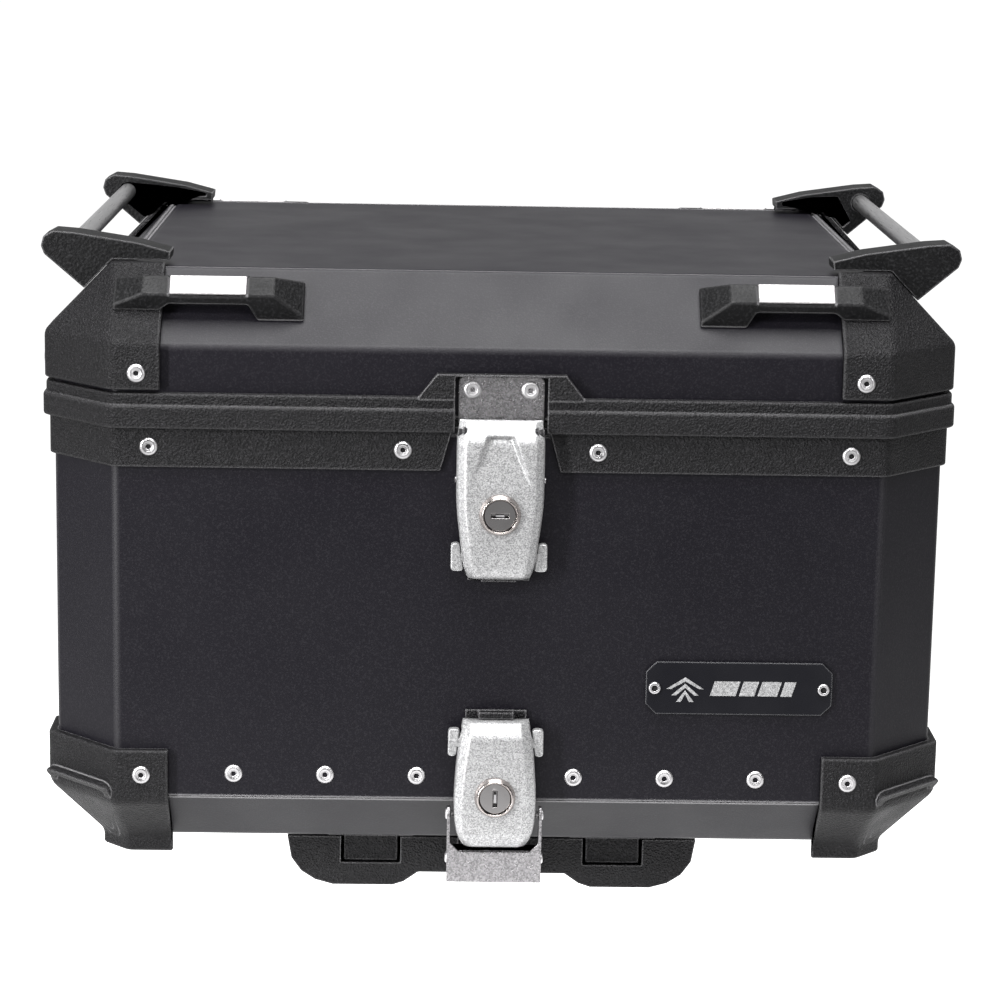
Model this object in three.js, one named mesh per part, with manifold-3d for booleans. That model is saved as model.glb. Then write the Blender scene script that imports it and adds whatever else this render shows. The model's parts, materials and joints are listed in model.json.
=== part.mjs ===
// A motorcycle top case of sheet aluminium on its base plate: case body, hinged lid with side
// handles and strap loops, a latch that closes the lid and a latch that holds the case down.
// Millimetres, +X to the right, -Y towards the latches, +Z up. The origin is the centre of the
// base plate's mounting boss, on its underside.
import * as THREE from "three";
import { mergeVertices } from "three/addons/utils/BufferGeometryUtils.js";
import Module from "manifold-3d";

const wasm = await Module();
wasm.setup();

// ---------- driving dimensions ----------
const GAP = 0.3; // kept between pieces that touch
const HALF_W = 215; // case wall, half width
const HALF_D = 178; // case wall, half depth
const CORNER = 32; // plan chamfer of the wall
const SHEET = 1.5; // sheet thickness
const FLOOR_Z = 33; // underside of the case floor
const FLOOR_CORNER = 20; // plan chamfer of the floor
const CREASE_Z = 61; // where the wall turns into the 45 degree bottom slope
const WALL_TOP = 241;
const RIM_LOW = 224; // body rim band
const RIM_TOP = 245;
const SKIRT_LOW = 243; // lid rim band: lower edge, step and upper edge
const SKIRT_STEP = 253.7;
const SKIRT_TOP = 259.6;
const BEVEL_Z = 281.8; // where the lid wall turns into the bevel
const LID_TOP = 315;
const BEVEL_RUN = 32; // plan inset of the lid bevel
const BEVEL_SLOPE = (LID_TOP - BEVEL_Z) / BEVEL_RUN;
const GUARD = 4.5; // how far the moulded corner guards stand proud
const GUARD_ARM = 54; // guard length along each wall
const GUARD_TOP_Z = 317.5;
const HINGE_Y = 187; // lid hinge axis
const HINGE_Z = 244.5;
const HINGE_HALF = 150;
const PLATE_TOP = 25.5; // base plate
const PLATE_HALF_W = 103;
const PLATE_FRONT = -128;
const PLATE_REAR = 118;
const FOOT_X = 61; // feet under the case
const FOOT_FRONT = -126;
const FOOT_PITCH = 205;
const RELEASE_ANGLE = (40 * Math.PI) / 180; // direction in which the case leaves the plate
const HANDLE_X = 207; // side handle tube axis
const HANDLE_Z = 322;
const TUBE_R = 4.5;
const BRACKET_Y0 = 124; // handle bracket, inner and outer face
const BRACKET_Y1 = 144;
const LOOP_X = 139; // strap loop centre
const LOOP_S = 26; // and its distance up the bevel
const LATCH_PIVOT_Y = -187; // both latches
const UPPER_PIVOT_Z = 244;
const LOWER_PIVOT_Z = 46;
const LINK_PIN_Y = -184.5; // cross pin of the upper lever, link pins of the lower one

// ---------- materials ----------
const material = (color, roughness, metalness) =>
  new THREE.MeshStandardMaterial({ color, roughness, metalness });
const powderCoat = material(0x17171b, 0.45, 0.3);
const blackPlastic = material(0x141415, 0.6, 0);
const rubber = material(0x0c0c0c, 0.9, 0);
const dieCast = material(0xb9babd, 0.35, 0.8);
const steel = material(0xa8a8aa, 0.3, 0.9);
const chrome = material(0xd8d8da, 0.12, 1);
const tubeMetal = material(0x6f7074, 0.35, 0.9);
const reflectorWhite = material(0xf3f3f3, 0.4, 0);
const emblemBlack = material(0x08080a, 0.25, 0.2);

// ---------- shapes ----------
function solid(geometry) {
  const plain = geometry.index ? geometry.toNonIndexed() : geometry.clone();
  plain.deleteAttribute("normal");
  plain.deleteAttribute("uv");
  const merged = mergeVertices(plain, 1e-4);
  return new wasm.Manifold(
    new wasm.Mesh({
      numProp: 3,
      vertProperties: merged.attributes.position.array,
      triVerts: new Uint32Array(merged.index.array),
    }),
  );
}

function union(...pieces) {
  return pieces.reduce((sum, piece) => sum.add(piece));
}

function cut(body, ...tools) {
  return tools.reduce((left, tool) => left.subtract(tool), body);
}

function box(x0, x1, y0, y1, z0, z1) {
  const geometry = new THREE.BoxGeometry(x1 - x0, y1 - y0, z1 - z0);
  geometry.translate((x0 + x1) / 2, (y0 + y1) / 2, (z0 + z1) / 2);
  return solid(geometry);
}

function extruded(points, depth) {
  const shape = new THREE.Shape(points.map(([a, b]) => new THREE.Vector2(a, b)));
  return new THREE.ExtrudeGeometry(shape, { depth, bevelEnabled: false });
}

// Profile in X and Y, from z0 to z1.
function prismZ(points, z0, z1) {
  return solid(extruded(points, z1 - z0).translate(0, 0, z0));
}

// Profile in X and Z, from y0 to y1.
function prismY(points, y0, y1) {
  return solid(extruded(points, y1 - y0).rotateX(Math.PI / 2).translate(0, y1, 0));
}

// Profile in Y and Z, from x0 to x1.
function prismX(points, x0, x1) {
  const turned = new THREE.Matrix4().set(0, 0, 1, x0, 1, 0, 0, 0, 0, 1, 0, 0, 0, 0, 0, 1);
  return solid(extruded(points, x1 - x0).applyMatrix4(turned));
}

function rodX(y, z, radius, x0, x1, sides = 24) {
  const geometry = new THREE.CylinderGeometry(radius, radius, x1 - x0, sides);
  return solid(geometry.rotateZ(Math.PI / 2).translate((x0 + x1) / 2, y, z));
}

function rodY(x, z, radius, y0, y1, sides = 24) {
  const geometry = new THREE.CylinderGeometry(radius, radius, y1 - y0, sides);
  return solid(geometry.translate(x, (y0 + y1) / 2, z));
}

function rodZ(x, y, radius, z0, z1, sides = 24) {
  const geometry = new THREE.CylinderGeometry(radius, radius, z1 - z0, sides);
  return solid(geometry.rotateX(Math.PI / 2).translate(x, y, (z0 + z1) / 2));
}

// Joins convex outlines of equal point count, lowest first and counter-clockwise from above.
function loft(sections) {
  const count = sections[0].length;
  const positions = sections.flat(2);
  const faces = [];
  sections.slice(1).forEach((_, level) => {
    for (let i = 0; i < count; i += 1) {
      const a = level * count + i;
      const b = level * count + ((i + 1) % count);
      faces.push(a, b, b + count, a, b + count, a + count);
    }
  });
  const top = (sections.length - 1) * count;
  for (let i = 1; i < count - 1; i += 1) {
    faces.push(0, i + 1, i, top, top + i, top + i + 1);
  }
  const geometry = new THREE.BufferGeometry();
  geometry.setAttribute("position", new THREE.Float32BufferAttribute(positions, 3));
  geometry.setIndex(faces);
  return solid(geometry);
}

function octagon(halfX, halfY, chamfer, z) {
  const x = halfX - chamfer;
  const y = halfY - chamfer;
  return [
    [halfX, -y, z], [halfX, y, z], [x, halfY, z], [-x, halfY, z],
    [-halfX, y, z], [-halfX, -y, z], [-x, -halfY, z], [x, -halfY, z],
  ];
}

const OCTAGON_GROWTH = 2 - Math.SQRT2; // chamfer growth for each mm of offset

function wallSection(offset, z) {
  return octagon(HALF_W + offset, HALF_D + offset, CORNER + OCTAGON_GROWTH * offset, z);
}

// The case's outside moved outwards by offset, from bottomZ up to topZ.
function bodyForm(offset, bottomZ, topZ) {
  const creaseZ = CREASE_Z - (Math.SQRT2 - 1) * offset;
  const inset = CREASE_Z - bottomZ - Math.SQRT2 * offset;
  const x = HALF_W - inset;
  const y = HALF_D - inset;
  const depth = CREASE_Z - FLOOR_Z;
  const fall = (2 * depth + FLOOR_CORNER - CORNER) / depth;
  const cornerSum =
    HALF_W + HALF_D - CORNER - fall * (CREASE_Z - bottomZ) + Math.hypot(1, 1, fall) * offset;
  return loft([
    octagon(x, y, Math.max(x + y - cornerSum, 1), bottomZ),
    wallSection(offset, creaseZ),
    wallSection(offset, topZ),
  ]);
}

// The lid's outside moved outwards by offset, from bottomZ up to topZ.
function lidForm(offset, bottomZ, topZ) {
  const lean = Math.hypot(1, BEVEL_SLOPE) * offset;
  const bevelZ = LID_TOP + lean - (BEVEL_RUN + offset) * BEVEL_SLOPE;
  const inset = BEVEL_RUN - (LID_TOP + lean - topZ) / BEVEL_SLOPE;
  const x = HALF_W - inset;
  const y = HALF_D - inset;
  const rise = BEVEL_RUN / (LID_TOP - BEVEL_Z);
  const cornerLean = Math.hypot(1, 1, rise) * offset;
  const cornerSum = HALF_W + HALF_D - CORNER + cornerLean - rise * (topZ - BEVEL_Z);
  return loft([
    wallSection(offset, bottomZ),
    wallSection(offset, bevelZ),
    octagon(x, y, Math.max(x + y - cornerSum, 1), topZ),
  ]);
}

function band(outer, inner, z0, z1) {
  return cut(
    loft([wallSection(outer, z0), wallSection(outer, z1)]),
    loft([wallSection(inner, z0 - 1), wallSection(inner, z1 + 1)]),
  );
}

// ---------- scene graph ----------
const root = new THREE.Group();

function addNode(parent, name, body, look) {
  const made = body.getMesh();
  const geometry = new THREE.BufferGeometry();
  geometry.setAttribute("position", new THREE.BufferAttribute(made.vertProperties, 3));
  geometry.setIndex(new THREE.BufferAttribute(made.triVerts, 1));
  const mesh = new THREE.Mesh(geometry, look);
  mesh.name = name;
  parent.add(mesh);
}

// A copy's group: suffix f or r is front or rear, l or r is left or right.
const CORNERS = [
  { suffix: "fl", sx: 1, sy: 1 },
  { suffix: "fr", sx: -1, sy: 1 },
  { suffix: "rl", sx: 1, sy: -1 },
  { suffix: "rr", sx: -1, sy: -1 },
];

// Adds a front left piece and its three mirrored copies.
function addAtCorners(name, body, look) {
  CORNERS.forEach(({ suffix, sx, sy }) => {
    const place = new THREE.Group();
    place.scale.set(sx, sy, 1);
    root.add(place);
    addNode(place, `${name}_${suffix}`, body, look);
  });
}

// ---------- base plate ----------
const PLATE_CENTRE_Z = 7; // underside between the towers
const NOSE_FRONT = -170;
const NOSE_HALF = 17;
const STRIKER_LOW = 26.3;
const STRIKER_TOP = 40;
const STRIKER_FRONT = -182;

// Foot profile in Y and Z; its rear face runs along the release direction.
function footProfile(front, grow) {
  const rear = front + 28;
  const low = 12.5;
  const lip = 17;
  const top = PLATE_TOP + 0.5;
  const shiftY = grow * Math.sin(RELEASE_ANGLE);
  const shiftZ = grow * Math.cos(RELEASE_ANGLE);
  const run = (top - lip) / Math.tan(RELEASE_ANGLE);
  return [
    [front, low - grow],
    [rear + shiftY, low - grow],
    [rear + shiftY, lip + shiftZ],
    [rear + shiftY - run, top + shiftZ],
    [front, top + shiftZ],
  ];
}

function footPocket(front, length) {
  const profile = footProfile(front, 0.6);
  profile[0][0] -= length;
  profile[4][0] -= length;
  return prismX(profile, -15, 15);
}

function basePlate() {
  const half = [
    [50, 0], [80, 0], [89, 2.5], [96, 7], [101, 14], [PLATE_HALF_W, PLATE_TOP],
  ];
  const valley = [[37, PLATE_CENTRE_Z], [44, 2]];
  const right = [...valley, ...half];
  const left = right.map(([x, z]) => [-x, z]).reverse();
  const slab = prismY([...right, ...left], PLATE_FRONT, PLATE_REAR);
  const nose = prismX(
    [
      [PLATE_FRONT + 4, 8], [PLATE_FRONT + 4, PLATE_TOP - 0.5],
      [NOSE_FRONT, PLATE_TOP - 0.5], [NOSE_FRONT, 21], [PLATE_FRONT, 8],
    ].reverse(),
    -NOSE_HALF,
    NOSE_HALF,
  );
  const boss = box(-30, 30, -40, 40, 0, 10);
  const recess = box(-34, 34, -100, 96, 13, 40);
  const sideRecess = [-1, 1].map((s) => box(s * 61 - 14, s * 61 + 14, -66, 40, 6, 40));
  const pockets = [-1, 1].flatMap((s) => [
    footPocket(FOOT_FRONT, 10).translate([s * FOOT_X, 0, 0]),
    footPocket(FOOT_FRONT + FOOT_PITCH, 18).translate([s * FOOT_X, 0, 0]),
  ]);
  const bolts = [-1, 1].flatMap((sx) =>
    [-1, 1].map((sy) => rodZ(sx * 20, sy * 28, 3.5, -1, 20)),
  );
  return cut(union(slab, nose, boss), recess, ...sideRecess, ...pockets, ...bolts);
}

function plateStriker() {
  const run = (STRIKER_TOP - 5.6 - STRIKER_LOW) / Math.tan(RELEASE_ANGLE);
  const profile = [
    [STRIKER_FRONT, STRIKER_TOP - 5.6], [STRIKER_FRONT + run, STRIKER_LOW],
    [-160, STRIKER_LOW], [-160, STRIKER_TOP - 6], [STRIKER_FRONT + 10, STRIKER_TOP],
    [STRIKER_FRONT, STRIKER_TOP],
  ];
  return prismX(profile, -16, 16);
}

function foot() {
  const block = prismX(footProfile(FOOT_FRONT, 0), -13.5, 13.5);
  const flange = box(-21.5, 21.5, FOOT_FRONT - 2, FOOT_FRONT + 30, PLATE_TOP + 0.4, 30.9);
  return union(block, flange).translate([-FOOT_X, 0, 0]);
}

addNode(root, "base_plate", basePlate(), blackPlastic);
addNode(root, "plate_striker", plateStriker(), steel);
[["left", -1], ["right", 1]].forEach(([side, s]) => {
  const pad = box(s * 92 - 6, s * 92 + 6, -95, 95, PLATE_TOP + GAP, 30.6);
  addNode(root, `plate_pad_${side}`, pad, rubber);
});

// ---------- case body ----------
const TRAY_FLANGE_TOP = 84;

function bottomTray() {
  const step = SHEET + GAP;
  const slopes = cut(
    bodyForm(0, FLOOR_Z, CREASE_Z + 10),
    box(-300, 300, -300, 300, CREASE_Z, 200),
  );
  const flange = loft([
    wallSection(-step, CREASE_Z - 1),
    wallSection(-step, TRAY_FLANGE_TOP),
  ]);
  const inside = bodyForm(-step - SHEET, FLOOR_Z + SHEET, TRAY_FLANGE_TOP + 5);
  return cut(union(slopes, flange), inside);
}

function bodyRim() {
  const skin = band(2.4, GAP, RIM_LOW, RIM_TOP);
  const lip = band(1, -4, WALL_TOP + GAP, RIM_TOP);
  const notch = prismY(
    [
      [-28.6, RIM_LOW - 2], [28.6, RIM_LOW - 2], [22.8, 243.4], [22.8, RIM_TOP + 1],
      [-22.8, RIM_TOP + 1], [-22.8, 243.4],
    ],
    -HALF_D - 10,
    -HALF_D - 0.1,
  );
  return cut(union(skin, lip), notch);
}

// The corner facet of a bottom guard: a triangle that stands out as a rim around a pocket.
function facetRim() {
  const side = new THREE.Vector3(-HALF_W - 9, -HALF_D + 29, 66.5);
  const front = new THREE.Vector3(-HALF_W + 29, -HALF_D - 9, 66.5);
  const low = new THREE.Vector3(-184, -147, 27);
  const middle = new THREE.Vector3().add(side).add(front).add(low).divideScalar(3);
  const normal = new THREE.Vector3()
    .crossVectors(low.clone().sub(side), front.clone().sub(side))
    .normalize();
  const ring = (scale, depth) =>
    [side, low, front].map((p) =>
      p.clone().sub(middle).multiplyScalar(scale).add(middle)
        .addScaledVector(normal, -depth)
        .toArray(),
    );
  const outer = loft([ring(0.9, 9), ring(1, 0)]);
  const pocket = loft([ring(0.66, 3.5), ring(0.76, -2)]);
  return { outer, pocket };
}

function bottomCorner() {
  const arm = GUARD_ARM + 3;
  const reach = CREASE_Z - FLOOR_Z - Math.SQRT2 * GUARD;
  const lowX = HALF_W - reach;
  const lowY = HALF_D - reach;
  const form = loft([
    octagon(lowX, lowY, 13, 26),
    octagon(lowX, lowY, 13, FLOOR_Z),
    wallSection(GUARD, CREASE_Z - (Math.SQRT2 - 1) * GUARD),
    wallSection(GUARD, 85),
  ]);
  const region = box(-300, -HALF_W + arm, -300, -HALF_D + arm, 0, 100);
  const rim = facetRim();
  const guard = cut(union(form.intersect(region), rim.outer), rim.pocket);
  const relief = box(-174, -100, -137, -60, 0, FLOOR_Z + 2);
  return cut(guard, bodyForm(GAP, FLOOR_Z - GAP, 120), relief);
}

function emblemPlate() {
  const c = 5;
  const [x0, x1, z0, z1] = [72, 162, 106, 132];
  return prismY(
    [
      [x0 + c, z0], [x1 - c, z0], [x1, z0 + c], [x1, z1 - c],
      [x1 - c, z1], [x0 + c, z1], [x0, z1 - c], [x0, z0 + c],
    ],
    -HALF_D - 1.8,
    -HALF_D - GAP,
  );
}

function hingeLeafBody() {
  const plate = box(-HINGE_HALF, HINGE_HALF, 180.8, 182.6, 198, 240.5);
  const spacer = box(-HINGE_HALF, HINGE_HALF, HALF_D + GAP, 181, 198, 222);
  const web = [[180.8, 236], [182.6, 233], [189, 240.6], [185.5, 241.5], [180.8, 240]];
  const knuckles = [-1, 1].flatMap((s) => {
    const x0 = s < 0 ? -HINGE_HALF : 60;
    const x1 = s < 0 ? -60 : HINGE_HALF;
    return [rodX(HINGE_Y, HINGE_Z, 4.2, x0, x1), prismX(web, x0, x1)];
  });
  const bore = rodX(HINGE_Y, HINGE_Z, 2.1, -HINGE_HALF - 1, HINGE_HALF + 1);
  return cut(union(plate, spacer, ...knuckles), bore);
}

addNode(root, "bottom_tray", bottomTray(), powderCoat);
addNode(root, "wall_sheet", band(0, -SHEET, CREASE_Z + GAP, WALL_TOP), powderCoat);
addNode(root, "body_rim", bodyRim(), blackPlastic);
addNode(root, "rim_seal", band(0, -3.6, RIM_TOP + GAP, 248.2), rubber);
addAtCorners("bottom_corner", bottomCorner(), blackPlastic);
addNode(
  root,
  "underside_plate",
  box(-104, 104, FOOT_FRONT - 4, 112, 31.2, FLOOR_Z - GAP),
  steel,
);
CORNERS.forEach(({ suffix, sx, sy }) => {
  const body = foot().translate([sx > 0 ? 0 : 2 * FOOT_X, sy > 0 ? 0 : FOOT_PITCH, 0]);
  addNode(root, `foot_${suffix}`, body, blackPlastic);
});
addNode(root, "emblem_plate", emblemPlate(), emblemBlack);
addNode(root, "hinge_leaf_body", hingeLeafBody(), steel);
addNode(
  root,
  "hinge_pin",
  rodX(HINGE_Y, HINGE_Z, 2, -HINGE_HALF, HINGE_HALF),
  steel,
);
addNode(
  root,
  "floor_mat",
  prismZ(octagon(184, 147, FLOOR_CORNER + 2, 0).map(([x, y]) => [x, y]), FLOOR_Z + SHEET + GAP, 36.8),
  rubber,
);

// ---------- lid ----------
function lidRim() {
  const lower = band(5.4, 2.9, SKIRT_LOW, 249);
  const middle = band(5.4, GAP, 248.6, SKIRT_STEP);
  const upper = band(4, GAP, SKIRT_STEP - 1, SKIRT_TOP);
  const shelf = band(4, -4, 248.6, 250);
  const island = prismY(
    [[-39, 258], [39, 258], [39, SKIRT_TOP], [30.5, 271], [-30.5, 271], [-39, SKIRT_TOP]],
    -HALF_D - 5.4,
    -HALF_D - GAP,
  );
  const opening = box(-21.9, 21.9, -HALF_D - 10, -HALF_D - 0.1, 240, 269.9);
  const hingeFlat = box(-151.5, 151.5, 182.3, 190, 240, 256);
  return cut(union(lower, middle, upper, shelf, island), opening, hingeFlat);
}

function lidCorner() {
  const region = box(
    -300, -HALF_W + GUARD_ARM, -300, -HALF_D + GUARD_ARM, SKIRT_TOP + 1.6, 400,
  );
  const topOpening = box(-183.5, -100, -146.5, -60, LID_TOP - 1, 400);
  const form = lidForm(GUARD, SKIRT_TOP - 5, GUARD_TOP_Z);
  const inner = lidForm(GAP, SKIRT_TOP - 10, LID_TOP + GAP);
  return cut(form.intersect(region), inner, topOpening);
}

// Front left handle bracket; pockets open on its rear face.
function handleBracket() {
  const seat = lidForm(GUARD + GAP, SKIRT_TOP - 10, GUARD_TOP_Z + GAP);
  const outline = prismY(
    [
      [-221, 324], [-219.5, 320], [-199, 302.5], [-186, 310], [-160, 312],
      [-159, 322], [-174.6, 326], [-205, 330.5], [-215, 331.2], [-219.8, 328.5],
    ],
    -BRACKET_Y1,
    -BRACKET_Y0,
  );
  const depth = -BRACKET_Y0 - 14;
  const slot = prismY(
    [[-176.5, 320], [-163, 320], [-163, 321.5], [-174, 323.5], [-176.5, 323.5]],
    depth,
    -BRACKET_Y0 + 1,
  );
  const pocket = prismY(
    [[-201.5, 311.5], [-197.5, 308], [-187.5, 320], [-180, 320], [-180, 324.5], [-194, 325]],
    depth,
    -BRACKET_Y0 + 1,
  );
  const bore = rodY(-HANDLE_X, HANDLE_Z, TUBE_R + GAP, -BRACKET_Y0 - 8, -BRACKET_Y0 + 1);
  return cut(outline, seat, slot, pocket, bore);
}

// Front left strap loop, made flat (x along the loop, y up the bevel, z off it), then placed.
const BEVEL_TILT = Math.atan(BEVEL_SLOPE);

function onFrontBevel(flat) {
  return flat
    .rotate([(BEVEL_TILT * 180) / Math.PI, 0, 0])
    .translate([
      -LOOP_X,
      -HALF_D + LOOP_S * Math.cos(BEVEL_TILT),
      BEVEL_Z + LOOP_S * Math.sin(BEVEL_TILT),
    ]);
}

function tieDown() {
  const lift = GUARD + GAP;
  const side = [
    [-45, lift], [-23, lift], [-18.5, 8], [18.5, 8], [23, GAP], [45, GAP],
    [45, 3], [31, 13], [-31, 13], [-45, 7.5],
  ];
  const along = prismY(side, -11, 11);
  const across = prismX([[-11, 0], [11, 0], [11, 1.5], [5.6, 13], [-5.6, 13], [-11, 1.5]], -50, 50);
  const seat = box(-18.2, 18.2, -6, 6, 12.2, 14);
  return onFrontBevel(cut(along.intersect(across), seat));
}

function reflector() {
  return onFrontBevel(box(-18, 18, -5.2, 5.2, 12.5, 13.7));
}

function strikerBracket() {
  return box(-20.4, 20.4, -179.8, -HALF_D - GAP, 244.8, 269.6);
}

function hingeLeafLid() {
  const plate = box(-118, 118, 182.7, 184.3, 249.5, 275);
  const neck = box(-59.4, 59.4, 182.7, 184.3, HINGE_Z, 250);
  const spacer = box(-118, 118, HALF_D + GAP, 183, SKIRT_TOP + 0.8, 275);
  const knuckle = rodX(HINGE_Y, HINGE_Z, 4.2, -59.4, 59.4);
  const bore = rodX(HINGE_Y, HINGE_Z, 2.1, -70, 70);
  return cut(union(plate, neck, spacer, knuckle), bore);
}

const lidShell = cut(
  lidForm(0, 250 + GAP, LID_TOP),
  lidForm(-SHEET, 240, LID_TOP - SHEET),
);
addNode(root, "lid_shell", lidShell, powderCoat);
addNode(root, "lid_rim", lidRim(), blackPlastic);
addAtCorners("lid_corner", lidCorner(), blackPlastic);
addAtCorners("handle_bracket", handleBracket(), blackPlastic);
[["left", -1], ["right", 1]].forEach(([side, s]) => {
  const end = BRACKET_Y0 + 8 - GAP;
  const tube = rodY(s * HANDLE_X, HANDLE_Z, TUBE_R, -end, end);
  addNode(root, `handle_tube_${side}`, tube, tubeMetal);
});
addAtCorners("tie_down", tieDown(), blackPlastic);
addAtCorners("reflector", reflector(), reflectorWhite);
addNode(root, "striker_bracket", strikerBracket(), steel);
addNode(root, "hinge_leaf_lid", hingeLeafLid(), steel);

// ---------- latches ----------
// Made in the upper latch's place with z = 0 at the lever's pivot and the free end below it;
// the lower latch is the same mechanism turned half a turn about Y.
const COVER_WALL = 2;
const COVER_REAR = -180.6;
const upper = {
  name: "upper",
  free: -71, // lever's free end
  pin: -23, // cross pin
  lock: -38.3,
  slider: -60.5,
  keyway: [4.2, 1.1], // half sizes in X and Z
  // z, half width, front face
  cover: [
    [-71, 14.5, -189], [-66, 16.6, -191.5], [-52, 18.7, -193], [-34, 20.9, -193],
    [-6, 20.8, -193], [4, 20.4, -192], [6, 19.4, -190.5],
  ],
  baseEnd: -72.8,
  strikeBlock: 1.2,
  ear: [15.8, 17.8],
  trunnion: 20.4,
};
const lower = {
  name: "lower",
  free: -57,
  pin: -10,
  lock: -20.8,
  slider: -46,
  keyway: [1.1, 4.2],
  cover: [
    [-57, 15.6, -189], [-53, 17, -191.5], [-40, 18.6, -193], [-21, 19.9, -193],
    [-8, 19.6, -193], [2, 17.6, -192], [6, 14.5, -190],
  ],
  baseEnd: -61,
  strikeBlock: 3.4,
  ear: [11.6, 13.6],
  trunnion: 17.6,
};

function coverSection([z, halfWidth, front], inset, rear, c) {
  const w = halfWidth - inset;
  const y = front + inset;
  return [
    [-w, rear, z], [-w, y + c, z], [-w + c, y, z],
    [w - c, y, z], [w, y + c, z], [w, rear, z],
  ];
}

function latchCover(latch) {
  const outer = loft(latch.cover.map((row) => coverSection(row, 0, COVER_REAR, 3)));
  const last = latch.cover.length - 1;
  const rows = latch.cover.map(([z, w, y], i) => {
    const shift = i === 0 ? COVER_WALL : i === last ? -COVER_WALL : 0;
    return [z + shift, w, y];
  });
  const inner = loft(rows.map((row) => coverSection(row, COVER_WALL, COVER_REAR + 5, 0.8)));
  const pivotHole = rodX(LATCH_PIVOT_Y, 0, 2.1, -30, 30);
  const pinHole = rodX(LINK_PIN_Y, latch.pin, 1.6, -30, 30, 16);
  const lockHole = rodY(0, latch.lock, 10.2, -200, -185, 32);
  const slots = box(-30, 30, -186.4, -170, latch.slider - 7.1, latch.slider + 2.9);
  const heel = box(-30, 30, -183.2, -170, -7, 10);
  const heelTip = box(-30, 30, -185, -170, 2.5, 10);
  const capHalf = latch.ear[1] + 0.3;
  const middle = box(-capHalf, capHalf, -187.1, -170, -7, 10);
  return cut(outer, inner, pivotHole, pinHole, lockHole, slots, heel, heelTip, middle);
}

function latchBase(latch) {
  const plate = box(-14.8, 14.8, -180.2, -HALF_D - GAP, latch.baseEnd, -6);
  const ears = [-1, 1].flatMap((s) => {
    const [near, far] = latch.ear;
    const x0 = s < 0 ? -far : near;
    const x1 = s < 0 ? -near : far;
    const y = LATCH_PIVOT_Y;
    const neck = [
      [y - 3, -1.5], [y - 1.5, -12], [-180.2, -18], [-178.3, -18],
      [-178.3, -6], [-180.2, -6], [y + 2.6, -2.2],
    ].reverse();
    const foot0 = s < 0 ? -far : near - 3;
    const foot1 = s < 0 ? -near + 3 : far;
    const tip0 = s < 0 ? -latch.trunnion : near;
    const tip1 = s < 0 ? -near : latch.trunnion;
    return [
      rodX(y, 0, 3, x0, x1),
      prismX(neck, x0, x1),
      box(foot0, foot1, -180.2, -HALF_D - GAP, -18, -6),
      rodX(y, 0, 2, tip0, tip1),
    ];
  });
  const strikeLow = latch.free - 0.4 - latch.strikeBlock;
  const strike = box(-8.3, 8.3, -184.5, -179, strikeLow, latch.free - 0.4);
  return union(plate, ...ears, strike);
}

function lockBezel(latch) {
  const profile = [
    [7.8, -8], [9.9, -8], [9.9, 1.2], [9.3, 2.4], [8.3, 3], [7.8, 2.4], [7.8, -8],
  ];
  const points = profile.map(([r, h]) => new THREE.Vector2(r, h));
  const ring = new THREE.LatheGeometry(points, 32).rotateX(Math.PI);
  return solid(ring.translate(0, -193, latch.lock));
}

function lockPlug(latch) {
  const body = rodY(0, latch.lock, 7.5, -194.8, -184.5, 32);
  const [x, z] = latch.keyway;
  const slot = box(-x, x, -196, -191.5, latch.lock - z, latch.lock + z);
  return cut(body, slot);
}

function releaseSlider(latch) {
  const [y0, y1] = [-186, -181.5];
  const z = latch.slider;
  const bar = box(-22.8, 22.8, y0, y1, z - 2.5, z + 2.5);
  const ears = [-1, 1].map((s) =>
    box(s < 0 ? -22.9 : 18.9, s < 0 ? -18.9 : 22.9, y0, y1, z - 6.7, z + 6.7),
  );
  return union(bar, ...ears);
}

// The lower link: two outside arms with stub pins, joined by a plate with a hook behind it.
const LINK_X = [21.4, 22.9];

function lowerLink(latch) {
  const arms = [-1, 1].flatMap((s) => {
    const x0 = s < 0 ? -LINK_X[1] : LINK_X[0];
    const x1 = s < 0 ? -LINK_X[0] : LINK_X[1];
    return [
      prismX(
        [
          [-188.6, 23.4], [-180, 23.4], [-181, 8], [-180.6, -11], [-182.5, -14],
          [-187, -14], [-188.6, -11],
        ],
        x0,
        x1,
      ),
      rodX(LINK_PIN_Y, latch.pin, 1.5, s < 0 ? -23.6 : 18.7, s < 0 ? -18.7 : 23.6, 16),
    ];
  });
  const plate = box(-22.9, 22.9, -188.6, -187, 8, 23.4);
  const corners = [-1, 1].map((s) =>
    prismY(
      [[s * 22.9, 8.5], [s * 22.9, 2], [s * 16.5, 8.5]],
      -188.6,
      -187,
    ),
  );
  const reach = 10.2;
  const drop = reach * Math.tan(RELEASE_ANGLE);
  const top = LOWER_PIVOT_Z - 37.9;
  const hook = prismX(
    [
      [-187.4, 23.4], [-187.4, top], [-186.5, top],
      [-186.5 + reach, top + drop], [-186.5 + reach, top + drop + 3], [-183, 23.4],
    ],
    -21.5,
    21.5,
  );
  return union(...arms, plate, ...corners, hook);
}

function addLatch(latch, place) {
  addNode(place, `${latch.name}_latch_base`, latchBase(latch), blackPlastic);
  addNode(place, `${latch.name}_latch_cover`, latchCover(latch), dieCast);
  addNode(place, `${latch.name}_lock_bezel`, lockBezel(latch), chrome);
  addNode(place, `${latch.name}_lock_plug`, lockPlug(latch), chrome);
  addNode(place, `${latch.name}_release_slider`, releaseSlider(latch), dieCast);
}

const upperPlace = new THREE.Group();
upperPlace.position.z = UPPER_PIVOT_Z;
root.add(upperPlace);
addLatch(upper, upperPlace);
addNode(
  upperPlace,
  "upper_cross_pin",
  rodX(LINK_PIN_Y, upper.pin, 1.5, -21.6, 21.6, 16),
  steel,
);

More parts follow.
